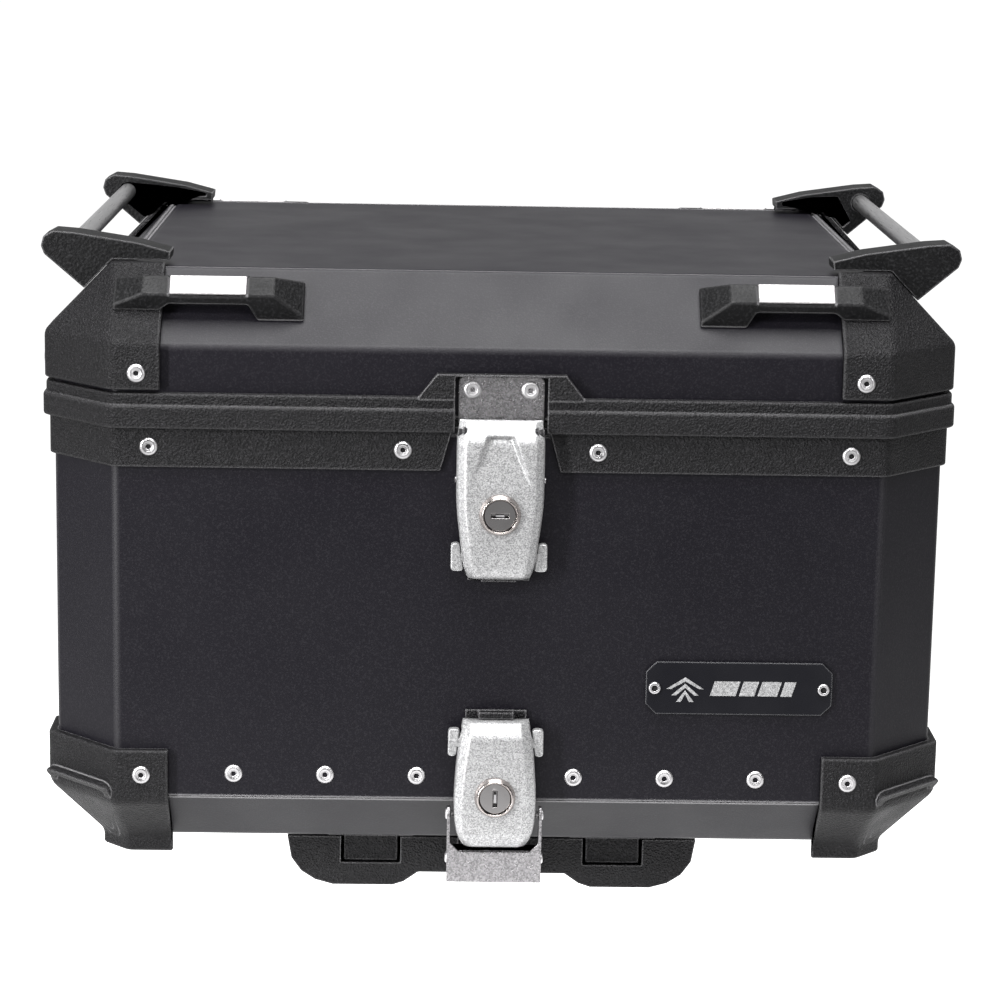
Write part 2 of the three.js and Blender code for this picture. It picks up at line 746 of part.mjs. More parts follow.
const lowerPlace = new THREE.Group();
lowerPlace.position.z = LOWER_PIVOT_Z;
lowerPlace.rotation.y = Math.PI;
root.add(lowerPlace);
addLatch(lower, lowerPlace);
addNode(lowerPlace, "lower_link", lowerLink(lower), steel);

export default root;
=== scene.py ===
"""Looks of the motorcycle top case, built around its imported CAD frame. Metres, +Z up."""

import json
import math

import bmesh
import bpy
from mathutils import Matrix, Vector


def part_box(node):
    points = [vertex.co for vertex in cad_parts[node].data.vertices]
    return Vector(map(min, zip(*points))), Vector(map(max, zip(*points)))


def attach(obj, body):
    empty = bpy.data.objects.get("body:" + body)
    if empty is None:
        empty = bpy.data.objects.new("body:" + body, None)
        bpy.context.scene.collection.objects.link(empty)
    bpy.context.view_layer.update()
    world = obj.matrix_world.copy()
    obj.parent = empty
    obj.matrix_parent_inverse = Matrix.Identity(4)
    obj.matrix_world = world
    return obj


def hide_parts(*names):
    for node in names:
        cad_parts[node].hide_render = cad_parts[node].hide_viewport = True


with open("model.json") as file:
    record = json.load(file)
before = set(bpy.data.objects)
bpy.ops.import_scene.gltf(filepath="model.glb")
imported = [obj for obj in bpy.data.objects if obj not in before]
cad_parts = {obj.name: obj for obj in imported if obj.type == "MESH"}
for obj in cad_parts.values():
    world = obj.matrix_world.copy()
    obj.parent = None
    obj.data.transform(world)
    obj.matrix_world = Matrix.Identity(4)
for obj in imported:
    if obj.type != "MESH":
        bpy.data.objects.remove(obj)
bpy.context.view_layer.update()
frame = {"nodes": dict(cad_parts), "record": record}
MM = 0.001
BODY_OF = {
    node: body
    for body, nodes in frame["record"]["behaviour"]["bodies"].items()
    for node in nodes
}
SLOT_OF = {part["node"]: part["material_slot"] for part in frame["record"]["subparts"]}
CORNERS = {"fl": (-1, -1), "fr": (1, -1), "rl": (-1, 1), "rr": (1, 1)}


# ---------- materials ----------
class Look:
    """A procedural material; its patterns are placed by the row frame's metres."""

    def __init__(self, name, metallic=0.0, specular=0.5):
        self.material = bpy.data.materials.new(name)
        self.material.use_nodes = True
        self.tree = self.material.node_tree
        self.shader = self.tree.nodes["Principled BSDF"]
        self.shader.inputs["Metallic"].default_value = metallic
        self.shader.inputs["Specular IOR Level"].default_value = specular
        self.place = self.node("ShaderNodeTexCoord").outputs["Object"]

    def node(self, kind, inputs=None, **settings):
        made = self.tree.nodes.new(kind)
        for key, value in settings.items():
            setattr(made, key, value)
        for key, value in (inputs or {}).items():
            if isinstance(value, bpy.types.NodeSocket):
                self.tree.links.new(value, made.inputs[key])
            else:
                made.inputs[key].default_value = value
        return made

    def noise(self, scale, detail=2.0, stretch=(1, 1, 1)):
        mapped = self.node(
            "ShaderNodeMapping", {"Vector": self.place, "Scale": stretch}
        )
        made = self.node(
            "ShaderNodeTexNoise",
            {"Vector": mapped.outputs["Vector"], "Scale": scale, "Detail": detail},
        )
        return made.outputs["Fac"]

    def cells(self, scale, output="Distance"):
        made = self.node("ShaderNodeTexVoronoi", {"Vector": self.place, "Scale": scale})
        return made.outputs[output]

    def spread(self, source, low, high, to_low=0.0, to_high=1.0):
        made = self.node(
            "ShaderNodeMapRange",
            {
                "Value": source, "From Min": low, "From Max": high,
                "To Min": to_low, "To Max": to_high,
            },
        )
        return made.outputs["Result"]

    def edges(self, radius, full=0.12):
        """0 on flat faces, 1 along convex and concave edges."""
        soft = self.node("ShaderNodeBevel", {"Radius": radius}, samples=4)
        flat = self.node("ShaderNodeNewGeometry")
        dot = self.node(
            "ShaderNodeVectorMath",
            {0: soft.outputs["Normal"], 1: flat.outputs["Normal"]},
            operation="DOT_PRODUCT",
        )
        return self.spread(dot.outputs["Value"], 1.0, 1.0 - full)

    def math(self, operation, a, b):
        return self.node("ShaderNodeMath", {0: a, 1: b}, operation=operation).outputs[0]

    def blend(self, factor, a, b):
        made = self.node(
            "ShaderNodeMix",
            {"Factor": factor, "A": (0, 0, 0, 1), "B": (0, 0, 0, 1)},
            data_type="RGBA",
        )
        for key, value in ((6, a), (7, b)):
            if isinstance(value, bpy.types.NodeSocket):
                self.tree.links.new(value, made.inputs[key])
            else:
                made.inputs[key].default_value = (*value, 1)
        return made.outputs[2]

    def bump(self, height, strength, distance, under=None):
        inputs = {"Height": height, "Strength": strength, "Distance": distance}
        if under is not None:
            inputs["Normal"] = under
        return self.node("ShaderNodeBump", inputs).outputs["Normal"]

    def finish(self, colour, roughness, normal):
        for key, value in (
            ("Base Color", colour), ("Roughness", roughness), ("Normal", normal),
        ):
            self.tree.links.new(value, self.shader.inputs[key])
        return self.material


def powder_coat():
    """Fine-grained black paint on the sheets, paler along its bends and edges: a painted
    highlight.
    """
    look = Look("powder_coat", specular=0.17)
    cloud = look.noise(9, 3)
    grain = look.noise(1300, 2)
    colour = look.blend(cloud, (0.0036, 0.0031, 0.0052), (0.0058, 0.0052, 0.0078))
    colour = look.blend(look.spread(grain, 0.5, 0.7), colour, (0.012, 0.0112, 0.0142))
    painted_edge_highlight = look.edges(0.0018, 0.06)
    # painted highlight: a pale line along every convex and concave bend of the sheet
    colour = look.blend(look.math("MULTIPLY", painted_edge_highlight, 0.85), colour, (0.26, 0.255, 0.263))
    roughness = look.spread(look.noise(26, 3), 0.3, 0.7, 0.40, 0.48)
    ripple = look.bump(look.noise(240, 1), 0.05, 0.0004)
    return look.finish(colour, roughness, look.bump(grain, 0.3, 0.0002, ripple))


def moulded_plastic(name, scale, base, strength, specular):
    """Black plastic with a leather grain and a painted highlight along its edges."""
    look = Look(name, specular=specular)
    grain = look.noise(scale, 3)
    pits = look.cells(scale * 0.8)
    colour = look.blend(
        look.spread(grain, 0.5, 0.72), base, tuple(3.0 * c + 0.009 for c in base)
    )
    painted_edge_highlight = look.math("MULTIPLY", look.edges(0.0011), 0.85)
    # painted highlight: pale lines along the plastic's convex and concave edges
    colour = look.blend(painted_edge_highlight, colour, (0.17, 0.167, 0.172))
    roughness = look.spread(look.noise(60, 3), 0.3, 0.7, 0.46, 0.58)
    pitted = look.bump(pits, strength * 0.6, 0.0009)
    return look.finish(colour, roughness, look.bump(grain, strength, 0.0009, pitted))


def rubber():
    look = Look("rubber", specular=0.3)
    dust = look.spread(look.noise(90, 4), 0.45, 0.8)
    colour = look.blend(dust, (0.008, 0.008, 0.008), (0.022, 0.021, 0.02))
    return look.finish(
        colour,
        look.spread(look.noise(300, 2), 0.2, 0.8, 0.7, 0.9),
        look.bump(look.noise(700, 2), 0.3, 0.0004),
    )


def die_cast():
    """Silver paint with visible flakes, on the levers."""
    look = Look("die_cast", metallic=0.55, specular=0.5)
    flakes = look.cells(2300, "Color")
    value = look.node("ShaderNodeSeparateColor", {"Color": flakes}).outputs[0]
    colour = look.blend(
        look.spread(value, 0.1, 1.0), (0.22, 0.22, 0.223), (0.54, 0.54, 0.545)
    )
    roughness = look.spread(look.noise(500, 2), 0.3, 0.7, 0.34, 0.46)
    return look.finish(colour, roughness, look.bump(value, 0.16, 0.0003))


def bright_steel(name, base, rough, scale):
    """Bare steel with a fine spangle."""
    look = Look(name, metallic=0.95)
    spangle = look.cells(scale, "Color")
    value = look.node("ShaderNodeSeparateColor", {"Color": spangle}).outputs[1]
    dark = tuple(0.45 * c for c in base)
    colour = look.blend(value, dark, base)
    roughness = look.spread(look.noise(400, 3), 0.3, 0.7, rough * 0.75, rough * 1.3)
    return look.finish(colour, roughness, look.bump(value, 0.4, 0.0003))


def polished(name, base, rough=0.12):
    look = Look(name, metallic=1.0)
    smear = look.noise(130, 4)
    colour = look.blend(smear, tuple(0.8 * c for c in base), base)
    roughness = look.spread(smear, 0.3, 0.7, rough, 2 * rough)
    turned = look.bump(look.noise(900, 2), 0.05, 0.0002)
    return look.finish(colour, roughness, turned)


def brushed_tube():
    look = Look("brushed_tube", metallic=0.9)
    streak = look.noise(60, 3, (30, 1, 30))
    colour = look.blend(streak, (0.20, 0.20, 0.205), (0.46, 0.455, 0.46))
    roughness = look.spread(streak, 0.3, 0.7, 0.26, 0.4)
    return look.finish(colour, roughness, look.bump(streak, 0.12, 0.0002))


def retroreflector():
    """White sheeting made of small beads."""
    look = Look("retroreflector", specular=0.5)
    bead = look.cells(700)
    colour = look.blend(
        look.spread(bead, 0.15, 0.75), (0.5, 0.485, 0.488), (0.34, 0.328, 0.332)
    )
    roughness = look.spread(bead, 0.0, 0.8, 0.25, 0.5)
    return look.finish(colour, roughness, look.bump(bead, 0.5, 0.0005))


def gloss_plate():
    look = Look("gloss_plate", specular=0.1)
    colour = look.blend(look.noise(40, 3), (0.004, 0.004, 0.006), (0.01, 0.01, 0.012))
    # paler along its edges: a painted highlight
    colour = look.blend(look.edges(0.0008), colour, (0.12, 0.12, 0.125))
    roughness = look.spread(look.noise(80, 3), 0.3, 0.7, 0.2, 0.32)
    return look.finish(colour, roughness, look.bump(look.noise(1200, 2), 0.04, 0.0002))


LOOKS = {
    "powder_coat": powder_coat(),
    "black_plastic": moulded_plastic("black_plastic", 1100, (0.0026, 0.0024, 0.003), 0.9, 0.2),
    "rubber": rubber(),
    "steel": bright_steel("galvanised_steel", (0.36, 0.35, 0.36), 0.3, 1500),
    "die_cast": die_cast(),
    "chrome": polished("polished_nickel", (0.52, 0.475, 0.455)),
    "tube": brushed_tube(),
    "reflector": retroreflector(),
    "emblem": gloss_plate(),
}
RIVET_STEEL = polished("rivet_steel", (0.56, 0.55, 0.56), 0.24)
HANDLE_BLACK = moulded_plastic("handle_black", 800, (0.001, 0.001, 0.0013), 0.3, 0.18)
SHADOW_BLACK = rubber()
SHADOW_BLACK.name = "shadow_black"


# ---------- making pieces ----------
BEND_ANGLE = 20  # degrees: flatter edges are left alone
CORNER_ANGLE = 70  # degrees: from here an edge is a corner, not a bend
FLAT_ANGLE = math.radians(0.7)
WELD = 1e-5


def add_piece(name, bm, looks, body, smooth=True):
    mesh = bpy.data.meshes.new(name)
    bm.to_mesh(mesh)
    bm.free()
    for look in looks:
        mesh.materials.append(look)
    if smooth:
        mesh.shade_smooth()
    piece = bpy.data.objects.new(name, mesh)
    bpy.context.scene.collection.objects.link(piece)
    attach(piece, body)
    return piece


def weigh_normals(piece):
    """Lets large faces decide the shading, so that flats look flat."""
    normals = piece.modifiers.new("face_normals", "WEIGHTED_NORMAL")
    normals.keep_sharp = True
    normals.weight = 60


def soften(piece, width, segments=3):
    bevel = piece.modifiers.new("soft_edges", "BEVEL")
    bevel.width = width
    bevel.segments = segments
    bevel.limit_method = "WEIGHT"
    bevel.use_clamp_overlap = False
    bevel.miter_outer = "MITER_ARC"
    bevel.harden_normals = False
    weigh_normals(piece)


def weigh_edges(bm, bend, corner):
    """Bevel weights: bends (small angles) and sharp corners get their own radius."""
    layer = bm.edges.layers.float.new("bevel_weight_edge")
    widest = max(bend, corner)
    for edge in bm.edges:
        if len(edge.link_faces) != 2:
            continue
        angle = math.degrees(edge.calc_face_angle(0))
        if angle > BEND_ANGLE:
            edge[layer] = (bend if angle < CORNER_ANGLE else corner) / widest
    return widest


def softened(node, bend, corner, look=None, merge=True):
    """A copy of a CAD node with its flat faces merged and its edges rounded."""
    bm = bmesh.new()
    bm.from_mesh(frame["nodes"][node].data)
    bmesh.ops.remove_doubles(bm, verts=bm.verts, dist=WELD)
    if merge:
        bmesh.ops.dissolve_limit(
            bm, angle_limit=FLAT_ANGLE, verts=bm.verts, edges=bm.edges
        )
    widest = weigh_edges(bm, bend * MM, corner * MM)
    slot = SLOT_OF[node]
    piece = add_piece(f"{node}_finished", bm, [look or LOOKS[slot]], BODY_OF[node])
    soften(piece, widest)
    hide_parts(node)


# ---------- the case's form: rounded octagons stacked into shells ----------
# A row is (half width, half depth, corner chamfer, height), in millimetres.
def span(node):
    low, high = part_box(node)
    return low / MM, high / MM


WALL_LOW, WALL_HIGH = span("wall_sheet")
LID_LOW, LID_HIGH = span("lid_shell")
TRAY_LOW, TRAY_HIGH = span("bottom_tray")
HALF_W, HALF_D = WALL_HIGH.x, WALL_HIGH.y
SHEET = 1.5  # thickness of the metal
BEND = 5  # bend radius of the sheet's corners
CHAMFER = 32
FLOOR_CHAMFER = 20
GAP = 0.3  # between touching pieces
GUARD = 4.5  # outer face of the corner guards, from the sheet
BAND = 2.4  # outer face of the body rim, from the sheet
LID_ARM, BOTTOM_ARM = 54, 57  # reach of the guards along each wall
CREASE_Z = WALL_LOW.z - GAP
BEVEL_RUN = 32
BEVEL_Z = 281.8
BEVEL_SLOPE = (LID_HIGH.z - BEVEL_Z) / BEVEL_RUN
ROOT2 = math.sqrt(2)
GROWTH = 2 - ROOT2  # of a corner chamfer, for each millimetre outwards


def wall_row(offset, z):
    """A row on the upright walls, moved outwards by offset."""
    return Vector((HALF_W + offset, HALF_D + offset, CHAMFER + GROWTH * offset, z))


def lid_row(offset, z):
    """A row on the lid's bevel, moved outwards by offset."""
    lean = math.hypot(1, BEVEL_SLOPE) * offset
    inset = BEVEL_RUN - (LID_HIGH.z + lean - z) / BEVEL_SLOPE
    x, y = HALF_W - inset, HALF_D - inset
    total = HALF_W + HALF_D - CHAMFER + math.hypot(1, 1, 1 / BEVEL_SLOPE) * offset
    return Vector((x, y, max(x + y - total + (z - BEVEL_Z) / BEVEL_SLOPE, 1), z))


def inset_row(row, inset):
    """A row moved inwards on its own level; its chamfer never closes."""
    chamfer = max(row[2] - GROWTH * inset, 0.8)
    return Vector((row[0] - inset, row[1] - inset, chamfer, row[3]))


def bevel_foot(offset):
    """The row where the lid's walls meet its bevel, moved outwards by offset."""
    lean = math.hypot(1, BEVEL_SLOPE) * offset
    return wall_row(offset, LID_HIGH.z + lean - (BEVEL_RUN + offset) * BEVEL_SLOPE)


def crease_row(offset):
    """The row where the walls meet the bottom slope, moved outwards by offset."""
    return wall_row(offset, CREASE_Z - (ROOT2 - 1) * offset)


def slope_row(offset, z):
    """A row on the 45 degree bottom slope, moved outwards by offset."""
    inset = CREASE_Z - z - ROOT2 * offset
    x, y = HALF_W - inset, HALF_D - inset
    depth = CREASE_Z - TRAY_LOW.z
    fall = (2 * depth + FLOOR_CHAMFER - CHAMFER) / depth
    total = HALF_W + HALF_D - CHAMFER - fall * (CREASE_Z - z)
    total += math.hypot(1, 1, fall) * offset
    return Vector((x, y, max(x + y - total, 1), z))


def fillet_rows(rows, reaches, closed=True, steps=4):
    """Rounds a profile of rows: each row becomes a short curve that starts reach before it."""
    count = len(rows)
    rounded = []
    for i, row in enumerate(rows):
        if not closed and i in (0, count - 1) or reaches[i] == 0:
            rounded.append(row)
            continue
        ends = []
        for other in (rows[i - 1], rows[(i + 1) % count]):
            gap = other - row
            length = max(math.hypot(gap[0], gap[3]), 1e-6)
            ends.append(row + gap * min(reaches[i] / length, 0.48))
        for k in range(steps + 1):
            t = k / steps
            rounded.append(
                ends[0] * (1 - t) ** 2 + row * 2 * t * (1 - t) + ends[1] * t * t
            )
    return rounded


def bent(points, radius, steps=4):
    """Rounds the inner corners of an open path of points."""
    path = [points[0]]
    for before, at, after in zip(points, points[1:], points[2:]):
        start, stop = (before - at), (after - at)
        turn = start.angle(-stop)
        reach = min(radius * math.tan(turn / 2), start.length * 0.48, stop.length * 0.48)
        a, b = at + start.normalized() * reach, at + stop.normalized() * reach
        for k in range(steps + 1):
            t = k / steps
            path.append(a * (1 - t) ** 2 + at * 2 * t * (1 - t) + b * t * t)
    return path + [points[-1]]


def ring_path(row, radius, notch=0.0):
    """Clockwise from the front's right side; with a notch, the front is open that wide."""
    hx, hy, c, z = row
    right = [(hx - c, -hy), (hx, c - hy), (hx, hy - c), (hx - c, hy)]
    left = [(c - hx, hy), (-hx, hy - c), (-hx, c - hy), (c - hx, -hy)]
    points = [(notch, -hy), *right, *left, (-notch, -hy)]
    return bent([Vector((x, y, z)) for x, y in points], radius)


def corner_path(row, radius, arm):
    """Around the front left corner, arm long on each wall of the bare case."""
    hx, hy, c, z = row
    points = [(-hx, arm - HALF_D), (-hx, c - hy), (c - hx, -hy), (arm - HALF_W, -hy)]
    return bent([Vector((x, y, z)) for x, y in points], radius)


def mesh_from_paths(bm, paths, ring=False, closed=True):
    """Joins equal paths into a skin. ring closes each path, closed joins last to first."""
    rows = [[bm.verts.new(p * MM) for p in path] for path in paths]
    faces = []
    for a, b in zip(rows, rows[1:] + rows[:1] if closed else rows[1:]):
        width = len(a)
        for i in range(width if ring else width - 1):
            j = (i + 1) % width
            faces.append(bm.faces.new((a[i], a[j], b[j], b[i])))
    if closed and not ring:
        faces.append(bm.faces.new([row[0] for row in rows]))
        faces.append(bm.faces.new([row[-1] for row in reversed(rows)]))
    bmesh.ops.recalc_face_normals(bm, faces=faces)
    return faces


def mirrored(bm, suffix):
    """Moves a front left shape to its corner."""
    sx, sy = (-side for side in CORNERS[suffix])
    bmesh.ops.scale(bm, vec=(sx, sy, 1), verts=bm.verts)
    if sx * sy < 0:
        bmesh.ops.reverse_faces(bm, faces=bm.faces)


def weighted(bm, rule, widest):
    """Bevel weights from a rule that gives each edge its width in millimetres."""
    layer = bm.edges.layers.float.new("bevel_weight_edge")
    for edge in bm.edges:
        edge[layer] = rule(edge) / widest
    return widest * MM


def sharp_rim(threshold, width):
    """Bevel rule: only edges sharper than threshold degrees are rounded."""
    def rule(edge):
        if len(edge.link_faces) != 2:
            return 0
        return width if math.degrees(edge.calc_face_angle(0)) > threshold else 0
    return rule


def stand_in_for(node, bm, width=None, segments=2):
    """Adds a rebuilt piece in place of a CAD node, with its weighted edges rounded."""
    slot = SLOT_OF[node]
    piece = add_piece(f"{node}_finished", bm, [LOOKS[slot]], BODY_OF[node])
    if width:
        soften(piece, width, segments)
    else:
        weigh_normals(piece)
    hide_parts(node)
    return piece


def close_ends(bm):
    """Fills every open loop and turns all faces outwards."""
    ends = [edge for edge in bm.edges if len(edge.link_faces) == 1]
    bmesh.ops.holes_fill(bm, edges=ends, sides=0)
    bmesh.ops.recalc_face_normals(bm, faces=bm.faces)


def case_shells():
    """The wall sheet and the folded bottom tray."""
    low, top = WALL_LOW.z, WALL_HIGH.z
    rows = [wall_row(0, low), wall_row(0, top), wall_row(-SHEET, top), wall_row(-SHEET, low)]
    bm = bmesh.new()
    paths = [ring_path(row, BEND)[:-1] for row in fillet_rows(rows, [0.3] * 4)]
    mesh_from_paths(bm, paths, ring=True)
    stand_in_for("wall_sheet", bm)

    floor = TRAY_LOW.z
    flange = -SHEET - GAP
    centre = [inset_row(slope_row(0, floor), 8), inset_row(slope_row(-SHEET, floor + SHEET), 8)]
    rows = [
        centre[0], slope_row(0, floor), wall_row(0, CREASE_Z), wall_row(flange, CREASE_Z),
        wall_row(flange, TRAY_HIGH.z), wall_row(flange - SHEET, TRAY_HIGH.z),
        crease_row(flange - SHEET), slope_row(flange - SHEET, floor + SHEET), centre[1],
    ]
    bm = bmesh.new()
    reaches = [0, 3, 0.6, 0.1, 0.3, 0.3, 3, 3, 0]
    paths = [
        ring_path(row, BEND)[:-1] for row in fillet_rows(rows, reaches, closed=False)
    ]
    mesh_from_paths(bm, paths, ring=True, closed=False)
    close_ends(bm)
    stand_in_for("bottom_tray", bm)


SEAM = [(2.2, 0), (2.4, 0.9), (4.0, 0.9), (4.2, 0), (6, 0)]  # groove: inset, depth


def lid_sheet():
    """The lid's folded sheet, with a groove round the flat top."""
    low, top = LID_LOW.z, LID_HIGH.z
    rows = [
        wall_row(0, low), bevel_foot(0), lid_row(0, top),
        *(inset_row(lid_row(0, top - deep), inset) for inset, deep in SEAM),
        inset_row(lid_row(-SHEET, top - SHEET), 6),
        lid_row(-SHEET, top - SHEET), bevel_foot(-SHEET), wall_row(-SHEET, low),
    ]
    bm = bmesh.new()
    reaches = [0, 1.8, 1.4, *[0] * len(SEAM), 0, 1.4, 1.8, 0]
    paths = [
        ring_path(row, BEND)[:-1] for row in fillet_rows(rows, reaches, closed=False)
    ]
    split = max(i for i, p in enumerate(paths) if p[0].z > top - 0.1) + 1
    mesh_from_paths(bm, paths[split:] + paths[:split], ring=True, closed=False)
    close_ends(bm)
    stand_in_for("lid_shell", bm)


def rims():
    """The plastic bands round the case's and the lid's edges, open at the latch."""
    notch_low, notch_high = 28.6, 22.8
    bottom, top = (corner.z for corner in span("body_rim"))
    lip = 241.3

    def notch_at(z):
        return max(notch_high, notch_low - (z - bottom) * (notch_low - notch_high) / 17.5)

    bm = bmesh.new()
    rows = [
        wall_row(GAP, bottom), wall_row(BAND, bottom), wall_row(BAND, top),
        wall_row(GAP, top),
    ]
    rows = fillet_rows(rows, [0.1, 1.0, 1.0, 0.1])
    mesh_from_paths(bm, [ring_path(r, BEND + 2, notch_at(r[3])) for r in rows])
    rows = [wall_row(0.4, lip), wall_row(0.4, top), wall_row(-4, top), wall_row(-4, lip)]
    rows = fillet_rows(rows, [0.1, 0.1, 0.8, 0.8])
    mesh_from_paths(bm, [ring_path(r, BEND)[:-1] for r in rows], ring=True)
    width = weighted(bm, sharp_rim(60, 0.5), 0.5)
    stand_in_for("body_rim", bm, width)

    bottom, step, top = span("lid_rim")[0].z, 253.7, 259.6
    bm = bmesh.new()
    rows = [
        wall_row(2.9, bottom), wall_row(5.4, bottom), wall_row(5.4, step),
        wall_row(4, step + 0.2), wall_row(4, top), wall_row(0.3, top + 0.2),
        wall_row(0.3, 248.6), wall_row(2.9, 248.6),
    ]
    rows = fillet_rows(rows, [0.8, 1.4, 1.3, 0.5, 1.2, 0.4, 0.2, 0.2])
    mesh_from_paths(bm, [ring_path(r, BEND + 4, 21.9) for r in rows])
    rows = [wall_row(0.4, 248.6), wall_row(0.4, 250), wall_row(-4, 250), wall_row(-4, 248.6)]
    mesh_from_paths(bm, [ring_path(r, BEND)[:-1] for r in rows], ring=True)
    island(bm)
    width = weighted(bm, sharp_rim(38, 0.4), 0.4)
    stand_in_for("lid_rim", bm, width, 3)


def island(bm):
    """The raised arch on the lid's rim over the latch."""
    outline = [
        (-39, 258.6), (-21.9, 258.6), (-21.9, 269.9), (21.9, 269.9), (21.9, 258.6),
        (39, 258.6), (39, 260.2), (30.5, 271), (-30.5, 271), (-39, 260.2),
    ]
    prism(bm, [Vector((x, 0, z)) for x, z in outline], Vector((0, -HALF_D - 5.2, 0)),
          Vector((0, -HALF_D - GAP, 0)))


def prism(bm, outline, start, stop):
    """A flat outline (mm) swept from start to stop; returns its faces."""
    a = [bm.verts.new((p + start) * MM) for p in outline]
    b = [bm.verts.new((p + stop) * MM) for p in outline]
    faces = [bm.faces.new(a), bm.faces.new(b[::-1])]
    for i in range(len(outline)):
        j = (i + 1) % len(outline)
        faces.append(bm.faces.new((a[j], a[i], b[i], b[j])))
    bmesh.ops.recalc_face_normals(bm, faces=faces)
    return faces


def lid_guard(suffix):
    """A moulded guard on a lid corner, with a lip over the top."""
    node = f"lid_corner_{suffix}"
    low, high = span(node)
    inner_top = lid_row(GAP, LID_HIGH.z + GAP)
    lip = lid_row(GUARD, high.z)
    lip[0], lip[1] = 183.5, 146.5
    lip[2] = 14
    under = lip.copy()
    under[3] = LID_HIGH.z + GAP
    rows = [
        wall_row(GAP, low.z), wall_row(GUARD, low.z), bevel_foot(GUARD),
        lid_row(GUARD, high.z), lip, under, inner_top, bevel_foot(GAP),
    ]
    bm = bmesh.new()
    rows = fillet_rows(rows, [0.1, 1.3, 2.4, 1.4, 0.5, 0, 0, 0])
    mesh_from_paths(bm, [corner_path(row, BEND + 3, LID_ARM) for row in rows])
    mirrored(bm, suffix)
    width = weighted(bm, cap_rule(1.2), 1.2)
    stand_in_for(node, bm, width, 3)


def cap_rule(width):
    """Bevel rule: edges round the large end faces."""
    def rule(edge):
        return width if any(len(f.verts) > 6 for f in edge.link_faces) else 0
    return rule


def bottom_guard(suffix):
    """A moulded guard on a bottom corner, with a foot and a raised triangle."""
    node = f"bottom_corner_{suffix}"
    low, high = span(node)
    reach = CREASE_Z - TRAY_LOW.z - ROOT2 * GUARD
    foot = Vector((HALF_W - reach, HALF_D - reach, 13, TRAY_LOW.z))
    tip = foot.copy()
    tip[3] = low.z
    under = Vector((foot[0] - 3, foot[1] - 3, 12, low.z))
    under_top = under.copy()
    under_top[3] = TRAY_LOW.z - GAP
    seat = slope_row(GAP, TRAY_LOW.z - GAP)
    rows = [
        under, tip, foot, crease_row(GUARD), wall_row(GUARD, high.z),
        wall_row(GAP, high.z), crease_row(GAP), seat, under_top,
    ]
    bm = bmesh.new()
    rows = fillet_rows(rows, [0.6, 1.2, 3, 4, 1.3, 0.1, 0, 0, 0])
    mesh_from_paths(bm, [corner_path(row, BEND + 1, BOTTOM_ARM) for row in rows])
    facet_rim(bm)
    mirrored(bm, suffix)
    width = weighted(bm, cap_rule(1.1), 1.1)
    stand_in_for(node, bm, width, 3)


def facet_rim(bm):
    """The triangle that stands out of a bottom guard's corner, with a pocket in it."""
    side = Vector((-HALF_W - 9, -HALF_D + 29, 66.5))
    front = Vector((-HALF_W + 29, -HALF_D - 9, 66.5))
    low = Vector((-184, -147, 27))
    middle = (side + front + low) / 3
    normal = (low - side).cross(front - side).normalized()

    def ring(scale, depth, radius):
        points = [(p - middle) * scale + middle - normal * depth for p in (side, low, front)]
        start = (points[0] + points[2]) / 2
        return bent([start, *points, start], radius)[:-1]

    rings = [
        ring(0.86, 9, 4), ring(0.985, 1.2, 4.5), ring(0.985, 0.2, 4.5), ring(0.965, 0, 4.5),
        ring(0.80, 0, 4), ring(0.77, 0.4, 4), ring(0.70, 3.5, 3), ring(0.66, 3.9, 3),
        ring(0.3, 3.9, 1),
    ]
    faces = mesh_from_paths(bm, rings, ring=True, closed=False)
    ends = {edge for face in faces for edge in face.edges if len(edge.link_faces) == 1}
    bmesh.ops.holes_fill(bm, edges=list(ends), sides=0)
    bmesh.ops.recalc_face_normals(bm, faces=bm.faces)


case_shells()
lid_sheet()
rims()
for corner in CORNERS:
    lid_guard(corner)
    bottom_guard(corner)

# bend radius, corner radius
ROUNDING = {
    "rim_seal": (2, 0.5),
    "base_plate": (0.6, 0.4), "plate_striker": (0.6, 0.6),
    "plate_pad_left": (1, 1), "plate_pad_right": (1, 1),
    "underside_plate": (0.3, 0.3), "emblem_plate": (0.5, 0.3),
    "hinge_leaf_body": (0.3, 0.3), "hinge_leaf_lid": (0.3, 0.3), "hinge_pin": (0.3, 0.3),
    "floor_mat": (0.5, 0.5), "upper_latch_base": (0.4, 0.4), "lower_latch_base": (0.4, 0.4),
    "handle_tube_left": (0.5, 0.5), "handle_tube_right": (0.5, 0.5),
    "upper_cross_pin": (0.2, 0.2),
    "lower_link": (0.6, 0.4),
    "upper_release_slider": (1.2, 1.2), "lower_release_slider": (1.2, 1.2),
}
for suffix in CORNERS:
    ROUNDING[f"foot_{suffix}"] = (0.6, 0.6)
    ROUNDING[f"handle_bracket_{suffix}"] = (0.5, 0.5)
    ROUNDING[f"tie_down_{suffix}"] = (1, 1)
    ROUNDING[f"reflector_{suffix}"] = (0.4, 0.4)
for node, (bend, corner) in ROUNDING.items():
    dark = node.startswith(("handle_bracket", "tie_down"))
    softened(
        node, bend, corner, look=HANDLE_BLACK if dark else None,
        merge=node != "base_plate",
    )


# ---------- turned parts: rivets, lock rings, screws ----------
def turned(bm, profile, place, sides=32, look=0):
    """Revolves (radius, height) points about the place's Z axis, in millimetres."""
    rings = []
    for radius, height in profile:
        if radius == 0:
            rings.append([bm.verts.new(place @ (Vector((0, 0, height))) * MM)])
            continue
        angles = [2 * math.pi * k / sides for k in range(sides)]
        rings.append([
            bm.verts.new(
                place @ Vector((radius * math.cos(a), radius * math.sin(a), height)) * MM
            )
            for a in angles
        ])
    faces = []
    for low, high in zip(rings, rings[1:]):
        for i in range(sides):
            j = (i + 1) % sides
            corners = [low[i % len(low)], low[j % len(low)],
                       high[j % len(high)], high[i % len(high)]]
            unique = list(dict.fromkeys(corners))
            face = bm.faces.new(unique)
            face.material_index = look
            faces.append(face)
    return faces


